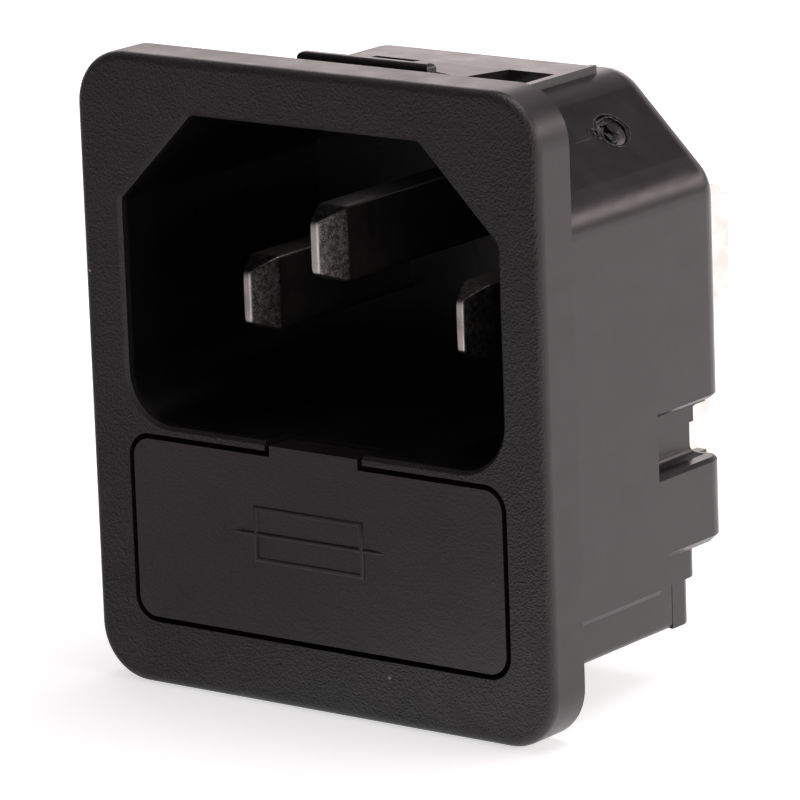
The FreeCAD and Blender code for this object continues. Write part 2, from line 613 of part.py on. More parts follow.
# ---- rear cover: a cap pressed over the back of the tunnel, carrying both fuse clips ---------

cover = new_body("rear_cover")
sketch = facing_sketch(cover, "cap", "@tunnel_back")
draw_outline(sketch, mirrored([
    ("@tunnel_half", "@tunnel_floor"),
    ("@tunnel_half", "@rail_edge - @cover_fit"),
    ("@bore_half - @cover_fit", "@rail_edge - @cover_fit"),
    ("@bore_half - @cover_fit", "@bore_top - @cover_fit"),
]))
pad(cover, sketch, "@cover_thick")
sketch = facing_sketch(cover, "rim", "@cover_front + @merge")
draw_outline(sketch, mirrored([
    ("@tunnel_half", "@tunnel_floor"),
    ("@tunnel_half", "@rail_edge - @cover_fit"),
    ("@bore_half", "@rail_edge - @cover_fit"),
    ("@bore_half", "@bore_floor"),
]))
pad(cover, sketch, "@cover_rim + @merge")
fillet(cover, "cap_corners", "@tunnel_round",
       lambda box, mid: (runs_along(box, "z") and near(mid.y, value("@tunnel_back"))
                         and near(abs(mid.x), value("@tunnel_half")))
       or (runs_along(box, "x") and near(mid.y, value("@tunnel_back"))
           and near(mid.z, value("@tunnel_floor"))))
sketch = facing_sketch(cover, "rivet_holes", "@tunnel_back")
for sign in ("-", ""):
    draw_circle(sketch, sign + "@clip_side", "@fuse_axis", "@rivet_diameter + @rivet_fit * 2")
pocket(cover, sketch, "@cover_thick + @merge", backwards=True)


# ---- pins: nickel-plated brass bars with coined tips ------------------------------------------

def make_pin(label, centre, row_height, tip, end):
    """A bar from a coined tip to an end behind the base."""
    body = new_body(label)
    neck = tip + " + @tip_length"
    left, right = centre + " - @pin_thick / 2", centre + " + @pin_thick / 2"
    low, high = row_height + " - @pin_tall / 2", row_height + " + @pin_tall / 2"
    sketch = facing_sketch(body, label + "_bar", neck)
    draw_box(sketch, left, right, low, high)
    pad(body, sketch, end + " - (" + neck + ")", backwards=True)
    shoulder = facing_sketch(body, label + "_shoulder", neck)
    draw_box(shoulder, left, right, low, high)
    flat = facing_sketch(body, label + "_flat", tip)
    draw_box(flat, centre + " - @tip_thick / 2", centre + " + @tip_thick / 2",
             row_height + " - @tip_tall / 2", row_height + " + @tip_tall / 2")
    loft = body.newObject("PartDesign::AdditiveLoft", label + "_tip")
    loft.Profile = shoulder
    loft.Sections = [flat]
    doc.recompute()
    fillet(body, label + "_tip_round", "@tip_round",
           lambda box, mid: near(box.YMin, value(tip)) and near(box.YMax, value(tip)))
    return body


def add_tab(body, name, centre, axis_height, start):
    """A quick-connect blade with a pointed end and its detent hole."""
    low, high = axis_height + " - @tab_wide / 2", axis_height + " + @tab_wide / 2"
    sketch = side_sketch(body, name, centre)
    draw_outline(sketch, [
        (start, low),
        ("@tab_tip - @tab_point", low),
        ("@tab_tip", low + " + @tab_nip"),
        ("@tab_tip", high + " - @tab_nip"),
        ("@tab_tip - @tab_point", high),
        (start, high),
    ])
    pad(body, sketch, "@tab_thick", both=True)
    sketch = side_sketch(body, name + "_hole", centre)
    draw_circle(sketch, "@tab_tip - @tab_hole_back", axis_height, "@tab_hole")
    pocket(body, sketch, "@tab_thick + @past", both=True)


for label, centre, row_height, tip in (
        ("neutral_pin", "@pin_pitch / 2", "@pin_row", "@pin_tip"),
        ("earth_pin", "0", "@earth_row", "@earth_tip")):
    pin = make_pin(label, centre, row_height, tip, "@shell_back + @pin_stub")
    add_tab(pin, label + "_tab", centre, row_height, "@shell_back")

line_pin = make_pin("line_pin", "-@pin_pitch / 2", "@pin_row", "@pin_tip", "@shell_back")
sketch = facing_sketch(line_pin, "spigot", "@shell_back")
draw_circle(sketch, "-@pin_pitch / 2", "@pin_row", "@rivet_diameter")
pad(line_pin, sketch, "@tab_thick + @merge", backwards=True)
sketch = facing_sketch(line_pin, "riveted_end", "@shell_back + @tab_thick")
draw_circle(sketch, "-@pin_pitch / 2", "@pin_row", "@spigot_head")
pad(line_pin, sketch, "@spigot_rise", backwards=True)
bevel(line_pin, "riveted_bevel", "@rivet_bevel",
      lambda box, mid: near(box.YMin, value("@shell_back + @tab_thick + @spigot_rise"))
      and box.XLength > value("@rivet_diameter") + 0.1)


# ---- line link: the strip that takes the line pin down to its fuse clip -----------------------

link = new_body("line_link")
JOGGLE_TOP = "@bore_top - @link_start"
JOGGLE_FOOT = "@bore_top - @link_start - @link_fall"
sketch = side_sketch(link, "strip", "-@clip_side - @link_outside")
draw_outline(sketch, [
    ("@shell_back", "@pin_row + @link_over"),
    ("@shell_back", JOGGLE_TOP),
    ("@tunnel_back", JOGGLE_FOOT),
    ("@tunnel_back", "@fuse_axis - @link_under"),
    ("@tunnel_back + @tab_thick", "@fuse_axis - @link_under"),
    ("@tunnel_back + @tab_thick", JOGGLE_FOOT + " + @tab_thick / 2"),
    ("@shell_back + @tab_thick", JOGGLE_TOP + " + @tab_thick / 2"),
    ("@shell_back + @tab_thick", "@pin_row + @link_over"),
])
pad(link, sketch, "@clip_side + @link_outside - (@pin_pitch / 2 - @link_inside)")
fillet(link, "strip_bends", "@tab_thick / 2",
       lambda box, mid: runs_along(box, "x")
       and value(JOGGLE_FOOT) - 0.1 < mid.z < value(JOGGLE_TOP) + 1)
fillet(link, "strip_corners", "@tab_thick",
       lambda box, mid: runs_along(box, "y") and near(box.YLength, value("@tab_thick")))
sketch = facing_sketch(link, "spigot_hole", "@shell_back")
draw_circle(sketch, "-@pin_pitch / 2", "@pin_row", "@rivet_diameter + @rivet_fit * 2")
pocket(link, sketch, "@tab_thick + @merge")
sketch = facing_sketch(link, "link_rivet_hole", "@tunnel_back - @merge")
draw_circle(sketch, "-@clip_side", "@fuse_axis", "@rivet_diameter + @rivet_fit * 2")
pocket(link, sketch, "@tab_thick + @past")


# ---- line tab: an angle piece riveted behind the other clip -----------------------------------

line_tab = new_body("line_tab")
sketch = facing_sketch(line_tab, "foot", "@tunnel_back")
draw_box(sketch, "@blade_side - @tab_thick / 2", "@clip_side + @foot_side",
         "@blade_axis - @tab_wide / 2", "@fuse_axis + @foot_over")
pad(line_tab, sketch, "@tab_thick", backwards=True)
fillet(line_tab, "foot_corners", "@tab_thick",
       lambda box, mid: runs_along(box, "y") and near(mid.x, value("@clip_side + @foot_side")))
add_tab(line_tab, "line_blade", "@blade_side", "@blade_axis", "@tunnel_back")
sketch = facing_sketch(line_tab, "tab_rivet_hole", "@tunnel_back - @merge")
draw_circle(sketch, "@clip_side", "@fuse_axis", "@rivet_diameter + @rivet_fit * 2")
pocket(line_tab, sketch, "@tab_thick + @past")


# ---- fuse clips and their rivets ---------------------------------------------------------------

for side, sign in (("left", "-"), ("right", "")):
    clip = new_body(side + "_fuse_clip")
    sketch = side_sketch(clip, side + "_spring", sign + "@clip_side")
    leaf = [
        ("@lip_end", "@leaf_in + @clip_flare"),
        ("@lip_start", "@leaf_in"),
        ("@cover_front - @clip_thick", "@leaf_in"),
    ]
    back = [
        ("@cover_front", "@leaf_out"),
        ("@lip_start", "@leaf_out"),
        ("@lip_end", "@leaf_out + @clip_flare"),
    ]
    upper_inside = [(depth, "@fuse_axis + " + rise) for depth, rise in leaf]
    lower_inside = [(depth, "@fuse_axis - (" + rise + ")") for depth, rise in reversed(leaf)]
    lower_outside = [(depth, "@fuse_axis - (" + rise + ")") for depth, rise in reversed(back)]
    upper_outside = [(depth, "@fuse_axis + " + rise) for depth, rise in back]
    draw_outline(sketch, upper_inside + lower_inside + lower_outside + upper_outside)
    pad(clip, sketch, "@clip_width", both=True)
    fillet(clip, side + "_bends", "@clip_bend",
           lambda box, mid: runs_along(box, "x") and near(mid.y, value("@cover_front")))
    fillet(clip, side + "_inner_bends", "@clip_bend - @clip_thick",
           lambda box, mid: runs_along(box, "x")
           and near(mid.y, value("@cover_front - @clip_thick")))
    sketch = facing_sketch(clip, side + "_clip_hole", "@cover_front - @past")
    draw_circle(sketch, sign + "@clip_side", "@fuse_axis", "@rivet_diameter + @rivet_fit * 2")
    pocket(clip, sketch, "@past * 2")

    rivet = new_body(side + "_clip_rivet")
    sketch = facing_sketch(rivet, side + "_shank", "@cover_front - @clip_thick")
    draw_circle(sketch, sign + "@clip_side", "@fuse_axis", "@rivet_diameter")
    pad(rivet, sketch, "@clip_thick + @cover_thick + @tab_thick", backwards=True)
    for end, place, backwards in (("head", "@cover_front - @clip_thick", False),
                                  ("tail", "@tunnel_back + @tab_thick", True)):
        sketch = facing_sketch(rivet, side + "_" + end, place)
        draw_circle(sketch, sign + "@clip_side", "@fuse_axis", "@rivet_head")
        pad(rivet, sketch, "@rivet_rise", backwards=backwards)
    bevel(rivet, side + "_rivet_bevels", "@rivet_bevel",
          lambda box, mid: box.YLength < 0.01 and box.XLength > value("@rivet_diameter") + 0.1
          and (near(mid.y, value("@cover_front - @clip_thick - @rivet_rise"))
               or near(mid.y, value("@tunnel_back + @tab_thick + @rivet_rise"))))


# ---- fuse drawer: front panel with a finger tongue, and the tray behind it ---------------------

drawer = new_body("fuse_drawer")
sketch = facing_sketch(drawer, "tray", "@panel_back - @merge")
draw_box(sketch, "-@tray_half", "@tray_half", "@bore_floor + @tray_play", "@bore_top - @tray_play")
pad(drawer, sketch, "@tray_end - @panel_back + @merge", backwards=True)

# Front panel and tongue.
sketch = facing_sketch(drawer, "panel", "@panel_back")
draw_box(sketch, "@front_gap - @slot_half", "@slot_half - @front_gap",
         "@slot_bottom + @front_gap", "@slot_top - @front_gap")
pad(drawer, sketch, "@bezel_thick + @panel_back")
fillet(drawer, "panel_corners", "@slot_corner - @front_gap",
       lambda box, mid: runs_along(box, "y") and mid.y < 0
       and near(abs(mid.x), value("@slot_half - @front_gap")))
sketch = facing_sketch(drawer, "tongue", "@panel_back")
draw_box(sketch, "-@tongue_width / 2", "@tongue_width / 2", "@slot_top - @front_gap - @merge",
         "@cavity_sill - @tongue_inset")
pad(drawer, sketch, "@bezel_thick + @panel_back")

# Bay for the spare fuse, open at the top, and the saddle for the fuse in use, open at the back.
sketch = side_sketch(drawer, "spare_bay")
draw_box(sketch, "@spare_row - @cap_room", "@spare_row + @cap_room", "@fuse_axis",
         "@bore_top + @past")
pocket(drawer, sketch, "@fuse_room * 2", both=True)
sketch = side_sketch(drawer, "saddle_bay")
draw_box(sketch, "@fuse_row", "@tray_end + @past", "@fuse_axis - @cap_room",
         "@fuse_axis + @cap_room")
pocket(drawer, sketch, "@fuse_room * 2", both=True)
for cradle, row in (("spare_cradle", "@spare_row"), ("saddle_cradle", "@fuse_row")):
    sketch = side_sketch(drawer, cradle)
    draw_circle(sketch, row, "@fuse_axis", "@cap_room * 2")
    pocket(drawer, sketch, "@fuse_room * 2", both=True)

# Room for the clips on both sides of the saddle.
sketch = facing_sketch(drawer, "clip_bays", "@tray_end + @past")
for left, right in (("-@fuse_room", "-@saddle_half"), ("@saddle_half", "@fuse_room")):
    draw_box(sketch, left, right, "@bore_floor - @past", "@bore_top + @past")
pocket(drawer, sketch, "@tray_end + @past - @lip_end + @clip_room", backwards=True)


# ---- fuses: one in use at the back of the drawer, one spare in front ---------------------------

def make_fuse(prefix, row):
    """Glass tube, two pressed end caps and the wire between them."""
    reach = "(@fuse_length / 2 - @cap_wall)"
    glass = new_body(prefix + "_glass")
    sketch = side_sketch(glass, prefix + "_tube")
    draw_circle(sketch, row, "@fuse_axis", "@glass_diameter")
    draw_circle(sketch, row, "@fuse_axis", "@glass_bore")
    pad(glass, sketch, reach + " * 2", both=True)
    for side, sign in (("left", "-"), ("right", "")):
        cap = new_body(prefix + "_" + side + "_cap")
        end = sign + "@fuse_length / 2"
        mouth = sign + "(@fuse_length / 2 - @cap_length)"
        sketch = side_sketch(cap, prefix + side + "_drum", end)
        draw_circle(sketch, row, "@fuse_axis", "@cap_diameter")
        pad(cap, sketch, "@cap_length", backwards=(sign == ""))
        sketch = side_sketch(cap, prefix + side + "_bore", mouth)
        draw_circle(sketch, row, "@fuse_axis", "@glass_diameter + @cap_fit * 2")
        pocket(cap, sketch, "@cap_length - @cap_wall", backwards=(sign == ""))
        outer = value(end)
        bevel(cap, prefix + side + "_bevel", "@cap_bevel",
              lambda box, mid: near(box.XMin, outer) and near(box.XMax, outer))
    wire = new_body(prefix + "_wire")
    sketch = side_sketch(wire, prefix + "_strand")
    draw_circle(sketch, row, "@fuse_axis", "@wire_diameter")
    pad(wire, sketch, reach + " * 2", both=True)


make_fuse("fuse", "@fuse_row")
make_fuse("spare", "@spare_row")


# ---- check and export --------------------------------------------------------------------------

doc.recompute()
bodies = [item for item in doc.Objects if item.TypeId == "PartDesign::Body"]
for item in doc.Objects:
    if "Invalid" in item.State or "Error" in item.State:
        raise RuntimeError(item.Name + " failed: " + ", ".join(item.State))
for body in bodies:
    if body.Shape.isNull() or not body.Shape.isValid() or len(body.Shape.Solids) != 1:
        raise RuntimeError(body.Label + " is not one valid solid")
os.makedirs("parts", exist_ok=True)
for body in bodies:
    body.Shape.exportStep("parts/" + body.Label + ".step")
    print("%-20s %9.2f mm3" % (body.Label, body.Shape.Volume))
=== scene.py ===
"""Panel inlet socket with a fuse drawer: finishes, small raised details, studio and camera."""
import math

import bmesh
import bpy
import numpy as np
from mathutils import Matrix, Vector


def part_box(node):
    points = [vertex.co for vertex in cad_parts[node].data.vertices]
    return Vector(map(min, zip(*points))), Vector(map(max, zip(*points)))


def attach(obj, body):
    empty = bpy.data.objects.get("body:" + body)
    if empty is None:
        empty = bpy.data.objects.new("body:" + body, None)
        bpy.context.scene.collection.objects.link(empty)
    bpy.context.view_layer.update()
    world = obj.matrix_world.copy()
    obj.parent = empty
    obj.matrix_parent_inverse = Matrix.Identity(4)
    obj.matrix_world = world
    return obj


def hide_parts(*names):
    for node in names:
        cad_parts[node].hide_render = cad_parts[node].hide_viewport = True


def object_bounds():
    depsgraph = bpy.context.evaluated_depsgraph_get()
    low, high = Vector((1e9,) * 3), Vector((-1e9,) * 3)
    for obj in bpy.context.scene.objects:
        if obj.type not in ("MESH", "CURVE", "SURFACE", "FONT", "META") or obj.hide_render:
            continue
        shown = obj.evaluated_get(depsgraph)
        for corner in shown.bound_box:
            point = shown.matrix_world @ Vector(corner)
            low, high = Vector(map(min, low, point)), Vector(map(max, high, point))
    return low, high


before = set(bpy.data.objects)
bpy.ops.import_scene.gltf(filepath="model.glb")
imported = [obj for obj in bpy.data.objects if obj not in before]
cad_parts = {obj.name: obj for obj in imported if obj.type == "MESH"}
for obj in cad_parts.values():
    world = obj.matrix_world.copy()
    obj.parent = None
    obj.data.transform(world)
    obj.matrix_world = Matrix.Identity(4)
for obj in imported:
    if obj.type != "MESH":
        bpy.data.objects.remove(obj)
cad_box = [list(corner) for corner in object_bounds()]
MM = 0.001


# ---- camera ------------------------------------------------------------------------------------
# A long lens a third of a metre away, a little above the socket and off to its right, held
# slightly out of level.

LENS, SENSOR = 282.96, 36.0
STAND = Vector((196.159, -252.355, 77.378)) * MM
AZIMUTH, ELEVATION, ROLL = math.radians(37.33), math.radians(13.76), math.radians(-2.07)
camera_data = bpy.data.cameras.new("camera")
camera_data.sensor_width = SENSOR
camera_data.lens = LENS
camera_data.clip_start, camera_data.clip_end = 0.01, 10.0
camera = bpy.data.objects.new("camera", camera_data)
bpy.context.collection.objects.link(camera)
back = Vector((math.sin(AZIMUTH) * math.cos(ELEVATION),
               -math.cos(AZIMUTH) * math.cos(ELEVATION),
               math.sin(ELEVATION)))
level_right = (-back).cross(Vector((0, 0, 1))).normalized()
level_up = level_right.cross(-back)
right = math.cos(ROLL) * level_right + math.sin(ROLL) * level_up
up = math.cos(ROLL) * level_up - math.sin(ROLL) * level_right
turned = Matrix((right, up, back)).transposed().to_4x4()
camera.matrix_world = Matrix.Translation(STAND) @ turned
bpy.context.scene.camera = camera
bpy.context.scene.view_settings.view_transform = "Standard"


# ---- studio ------------------------------------------------------------------------------------
# A white floor just under the bezel and a white surround, dim where the socket's front faces
# mirror them. Large soft boxes behind the socket, at its right and overhead put bright bands on
# its folds, and a small one near by lights its front and the pins.

FLOOR_DROP = cad_box[0][2] - 0.05 * MM
FLOOR_HALF = 3.0
MIRRORED_BY_FRONT = (-0.61, -0.79, 0)
WEDGE_STARTS, WEDGE_FULL = 0.3, 0.75
WHITE = (1, 1, 1, 1)
WARM, COOL = (1.0, 0.87, 0.88), (0.9, 0.9, 1.0)
PINK, ROSE = (1.0, 0.88, 0.88), (1.0, 0.76, 0.74)


def add_node(tree, kind, operation=None, **sockets):
    """A shader node with values or links given to its input sockets by name or number."""
    node = tree.nodes.new(kind)
    if operation:
        node.operation = operation
    for name, content in sockets.items():
        number = name[1:]
        plug = node.inputs[int(number) if number.isdigit() else name.replace("_", " ")]
        if isinstance(content, bpy.types.NodeSocket):
            tree.links.new(content, plug)
        else:
            plug.default_value = content
    return node


def calculate(tree, operation, first, second=0.0):
    """The output of a maths node on two values or sockets."""
    return add_node(tree, "ShaderNodeMath", operation, _0=first, _1=second).outputs[0]


def rescale(tree, value, start, end, low=0.0, high=1.0):
    """A level that runs from low to high as a value goes from start to end, and stops there."""
    return add_node(tree, "ShaderNodeMapRange", Value=value, From_Min=start, From_Max=end,
                    To_Min=low, To_Max=high).outputs[0]


def blend(tree, share, first, second):
    """A colour between two colours or sockets: the first at share 0 and the second at 1."""
    return add_node(tree, "ShaderNodeMixRGB", Fac=share, Color1=first, Color2=second).outputs[0]


def colour_run(tree, value, stops):
    """Colours along a value from 0 to 1, given as pairs of place and colour."""
    ramp = add_node(tree, "ShaderNodeValToRGB", Fac=value)
    elements = ramp.color_ramp.elements
    while len(elements) < len(stops):
        elements.new(0.5)
    for element, (position, colour) in zip(elements, stops):
        element.position = position
        element.color = colour
    return ramp.outputs[0]


def away_from_front(tree, place, front_level, back_level):
    """A level by direction from the socket: low in the wedge that its front faces mirror."""
    straight = add_node(tree, "ShaderNodeVectorMath", "NORMALIZE", _0=place).outputs[0]
    facing = add_node(tree, "ShaderNodeVectorMath", "DOT_PRODUCT", _0=straight,
                      _1=MIRRORED_BY_FRONT).outputs["Value"]
    return rescale(tree, facing, WEDGE_STARTS, WEDGE_FULL, back_level, front_level)


def floor_finish():
    """Matt white; to the camera and in reflections it is lifted to plain white, less in front."""
    camera_glow, mirror_front, mirror_back, matt_white = 0.6, 0.03, 0.8, 0.8
    material = bpy.data.materials.new("floor_white")
    material.use_nodes = True
    tree = material.node_tree
    tree.nodes.clear()
    path = tree.nodes.new("ShaderNodeLightPath").outputs
    place = tree.nodes.new("ShaderNodeTexCoord").outputs["Object"]
    behind = away_from_front(tree, place, mirror_front, mirror_back)
    seen = calculate(tree, "MULTIPLY", path["Is Camera Ray"], camera_glow)
    mirrored = calculate(tree, "MULTIPLY", path["Is Glossy Ray"], behind)
    through = calculate(tree, "ADD", path["Is Transmission Ray"], mirrored)
    glow = add_node(tree, "ShaderNodeEmission", Color=WHITE,
                    Strength=calculate(tree, "ADD", seen, through))
    matt = add_node(tree, "ShaderNodeBsdfDiffuse", Color=(matt_white, matt_white, matt_white, 1))
    both = add_node(tree, "ShaderNodeAddShader", _0=matt.outputs[0], _1=glow.outputs[0])
    add_node(tree, "ShaderNodeOutputMaterial", Surface=both.outputs[0])
    return material


def lay_floor():
    """A level square card under the socket."""
    corners = [(x * FLOOR_HALF, y * FLOOR_HALF, FLOOR_DROP)
               for x, y in ((-1, -1), (1, -1), (1, 1), (-1, 1))]
    mesh = bpy.data.meshes.new("floor")
    mesh.from_pydata(corners, [], [(0, 1, 2, 3)])
    mesh.materials.append(floor_finish())
    card = bpy.data.objects.new("floor", mesh)
    bpy.context.collection.objects.link(card)


def grey(level):
    """An opaque grey of a level."""
    return (level, level, level, 1)


def hang_surround():
    """A sky that is white to the camera, and elsewhere bright low down behind the socket."""
    levels_by_height = [(0.0, grey(0.3)), (0.07, grey(0.1)), (0.16, grey(1.0)),
                        (0.36, grey(0.95)), (0.52, grey(0.12)), (1.0, grey(0.3))]
    cool_from, cool_to, front_level = 0.35, 0.6, 0.035
    world = bpy.data.worlds.new("surround")
    world.use_nodes = True
    bpy.context.scene.world = world
    tree = world.node_tree
    tree.nodes.clear()
    path = tree.nodes.new("ShaderNodeLightPath").outputs
    heading = tree.nodes.new("ShaderNodeTexCoord").outputs["Generated"]
    rise = add_node(tree, "ShaderNodeSeparateXYZ", Vector=heading).outputs[2]
    height = calculate(tree, "MAXIMUM", rise, 0.0)
    by_height = colour_run(tree, height, levels_by_height)
    tint = blend(tree, rescale(tree, height, cool_from, cool_to), (*WARM, 1), (*COOL, 1))
    by_side = away_from_front(tree, heading, front_level, 1.0)
    lit = calculate(tree, "MULTIPLY", by_height, by_side)
    seen = calculate(tree, "MAXIMUM", path["Is Camera Ray"], path["Is Transmission Ray"])
    sky = add_node(tree, "ShaderNodeBackground", Color=blend(tree, seen, tint, WHITE),
                   Strength=calculate(tree, "MAXIMUM", lit, seen))
    add_node(tree, "ShaderNodeOutputWorld", Surface=sky.outputs[0])


def soft_box(name, turn, rise, distance, size, level, tint):
    """A lamp aimed at the socket from a turn and rise in degrees; level is its face's brightness."""
    lamp = bpy.data.lights.new(name, "AREA")
    lamp.shape = "RECTANGLE"
    lamp.size, lamp.size_y = size
    lamp.energy = level * math.pi * size[0] * size[1]
    lamp.color = tint
    box = bpy.data.objects.new(name, lamp)
    turn, rise = math.radians(turn), math.radians(rise)
    place = distance * Vector((math.sin(turn) * math.cos(rise), -math.cos(turn) * math.cos(rise),
                               math.sin(rise)))
    box.location = place
    box.rotation_euler = (-place).to_track_quat("-Z", "Y").to_euler()
    bpy.context.collection.objects.link(box)


lay_floor()
hang_surround()
soft_box("back_left", 217, 17, 1.0, (0.9, 0.35), 1.35, WARM)
soft_box("back_right", 146, 17, 1.0, (0.55, 0.2), 3.0, WARM)
soft_box("right_side", 100, 22, 0.8, (0.7, 0.4), 2.4, WARM)
soft_box("overhead", 150, 72, 0.9, (0.7, 0.7), 2.9, PINK)
soft_box("front_fill", -25, 50, 0.15, (0.05, 0.05), 0.42, ROSE)


# ---- black mouldings ---------------------------------------------------------------------------
# Housing, rear cover and drawer are injection-moulded glass-filled thermoplastic. The fronts have
# the fine grain of a spark-eroded tool, and the other faces the soft gloss of a ground one.

# The socket's cavity as a box, and the near-black painted shade given to the plastic inside it.
CAVITY_MIDDLE = (0.0, 6.2 * MM, 5.7 * MM)
CAVITY_HALF = (12.33 * MM, 8.4 * MM, 8.53 * MM)
CAVITY_PAINTED_SHADE = (0.002, 0.002, 0.0018, 1)
DUST = (0.4, 0.38, 0.37, 1)
FACE_STARTS, FACE_FULL = -2.4 * MM, -2.75 * MM
BEZEL_STARTS, BEZEL_FULL = 0.02 * MM, -0.02 * MM
RELIEF_DEPTH = 0.05 * MM
SMEAR = 0.04


def start_material(name):
    """A new material, its tree, its shader, and the place on the object that patterns read."""
    material = bpy.data.materials.new(name)
    material.use_nodes = True
    tree = material.node_tree
    place = tree.nodes.new("ShaderNodeTexCoord").outputs["Object"]
    return material, tree, tree.nodes["Principled BSDF"], place


def noise(tree, place, scale, detail, roughness=0.5):
    """Smooth noise from 0 to 1, with its scale in waves per metre."""
    return add_node(tree, "ShaderNodeTexNoise", Vector=place, Scale=scale, Detail=detail,
                    Roughness=roughness).outputs[0]


def weighed(tree, parts):
    """The sum of sockets, each times its weight."""
    total = calculate(tree, "MULTIPLY", *parts[0])
    for socket, weight in parts[1:]:
        total = calculate(tree, "ADD", total, calculate(tree, "MULTIPLY", socket, weight))
    return total


def finish_shader(tree, shader, colour, rough, relief, strength, depth):
    """Gives a shader its colour, its roughness and a bump from a relief of a depth in metres."""
    bump = add_node(tree, "ShaderNodeBump", Strength=strength, Distance=depth, Height=relief)
    tree.links.new(colour, shader.inputs["Base Color"])
    tree.links.new(rough, shader.inputs["Roughness"])
    tree.links.new(bump.outputs[0], shader.inputs["Normal"])


def inside_box(tree, place, middle, half):
    """1 within a box given by its middle and its half sizes, and 0 outside it."""
    within = 1.0
    axes = add_node(tree, "ShaderNodeSeparateXYZ", Vector=place).outputs
    for axis, centre, reach in zip(axes, middle, half):
        off = calculate(tree, "ABSOLUTE", calculate(tree, "SUBTRACT", axis, centre))
        within = calculate(tree, "MULTIPLY", calculate(tree, "LESS_THAN", off, reach), within)
    return within


def dust_specks(tree, place):
    """1 on a speck at the middle of about one cell in seven of a cell pattern, and 0 elsewhere."""
    speck_starts, speck_full, bare_share = 0.045, 0.03, 0.86
    cells = add_node(tree, "ShaderNodeTexVoronoi", Vector=place, Scale=420.0).outputs
    lot = add_node(tree, "ShaderNodeSeparateColor", Color=cells["Color"]).outputs[0]
    speck = rescale(tree, cells["Distance"], speck_starts, speck_full)
    return calculate(tree, "MULTIPLY", speck, calculate(tree, "GREATER_THAN", lot, bare_share))


def moulding_relief(tree, place, front, front_grain):
    """Noise and cell pits on the front face, over a faint waviness and streaks from the tool."""
    waviness_weight, streak_weight, drawn_by = 0.08, 0.6, (1.0, 0.22, 1.0)
    pits = add_node(tree, "ShaderNodeTexVoronoi", Vector=place, Scale=7500.0).outputs[0]
    grain = noise(tree, place, scale=9500.0, detail=2.0, roughness=0.55)
    texture = calculate(tree, "MULTIPLY", calculate(tree, "ADD", grain, pits), front)
    waviness = noise(tree, place, scale=1500.0, detail=3.0)
    drawn_out = add_node(tree, "ShaderNodeVectorMath", "MULTIPLY", _0=place,
                         _1=drawn_by).outputs[0]
    streaks = noise(tree, drawn_out, scale=650.0, detail=3.0)
    return weighed(tree, [(texture, front_grain), (waviness, waviness_weight),
                          (streaks, streak_weight)])


def moulding_finish(name, dark, light, front_grain, front_rough, edge_rough, gloss):
    """Black plastic, grained and rough on the foremost face, smoother on edges and body; painted
    shade darkens it inside the cavity.
    """
    material, tree, shader, place = start_material(name)
    depth = add_node(tree, "ShaderNodeSeparateXYZ", Vector=place).outputs[1]
    front = rescale(tree, depth, FACE_STARTS, FACE_FULL)
    bezel = rescale(tree, depth, BEZEL_STARTS, BEZEL_FULL)
    patches = noise(tree, place, scale=220.0, detail=4.0)
    plain = colour_run(tree, patches, [(0.35, dark), (0.68, light)])
    dusted = blend(tree, dust_specks(tree, place), plain, DUST)
    # Painted shade: inside the cavity the colour is replaced by a near-black one.
    inside = inside_box(tree, place, CAVITY_MIDDLE, CAVITY_HALF)
    edges = rescale(tree, bezel, 0.0, 1.0, gloss, edge_rough)
    even = rescale(tree, front, 0.0, 1.0, edges, front_rough)
    smear = rescale(tree, noise(tree, place, scale=600.0, detail=5.0), 0.3, 0.7, -SMEAR, SMEAR)
    finish_shader(tree, shader, blend(tree, inside, dusted, CAVITY_PAINTED_SHADE),
                  calculate(tree, "ADD", even, smear),
                  moulding_relief(tree, place, front, front_grain), 1.0, RELIEF_DEPTH)
    return material


def dress_node(node, material):
    """Gives a CAD node its finish in every material slot."""
    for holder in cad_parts[node].material_slots:
        holder.material = material


housing_black = moulding_finish("housing_black", (0.010, 0.0088, 0.0088, 1),
                                (0.015, 0.0128, 0.013, 1), front_grain=0.75, front_rough=0.52,
                                edge_rough=0.37, gloss=0.31)
drawer_black = moulding_finish("drawer_black", (0.010, 0.0086, 0.009, 1),
                               (0.014, 0.012, 0.0125, 1), front_grain=0.22, front_rough=0.42,
                               edge_rough=0.4, gloss=0.35)
cover_black = moulding_finish("cover_black", (0.010, 0.0088, 0.0088, 1),
                              (0.016, 0.0138, 0.014, 1), front_grain=0.0, front_rough=0.4,
                              edge_rough=0.4, gloss=0.3)
dress_node("housing", housing_black)
dress_node("fuse_drawer", drawer_black)
dress_node("rear_cover", cover_black)


# ---- link, clips and rivets --------------------------------------------------------------------
# The strip from the line pin and the two spring clips are pressed from nickelled brass, mottled
# from plating and handling. Each clip has a plain brass rivet.

SPECKLE_DEPTH = 0.015 * MM


def metal_finish(name, base, stain, rough, bump_strength=0.12, painted_shade_by_place=None):
    """Metal with a darker stain in patches and fine speckle; an optional function gives a level by
    place that scales the colour, as painted shade.
    """
    rougher_by, smoother_by = 0.15, 0.08
    material, tree, shader, place = start_material(name)
    shader.inputs["Metallic"].default_value = 1.0
    speckle = noise(tree, place, scale=13000.0, detail=3.0)
    cloud = noise(tree, place, scale=900.0, detail=6.0)
    mottle = weighed(tree, [(cloud, 0.6), (speckle, 0.4)])
    colour = colour_run(tree, mottle, [(0.42, stain), (0.58, base)])
    # Painted shade: the colour is scaled down by a level that depends on place.
    if painted_shade_by_place:
        level = painted_shade_by_place(tree, place, speckle)
        colour = add_node(tree, "ShaderNodeVectorMath", "SCALE", _0=colour,
                          Scale=level).outputs[0]
    finish_shader(tree, shader, colour,
                  rescale(tree, mottle, 0.3, 0.7, rough + rougher_by, rough - smoother_by),
                  speckle, bump_strength, SPECKLE_DEPTH)
    return material


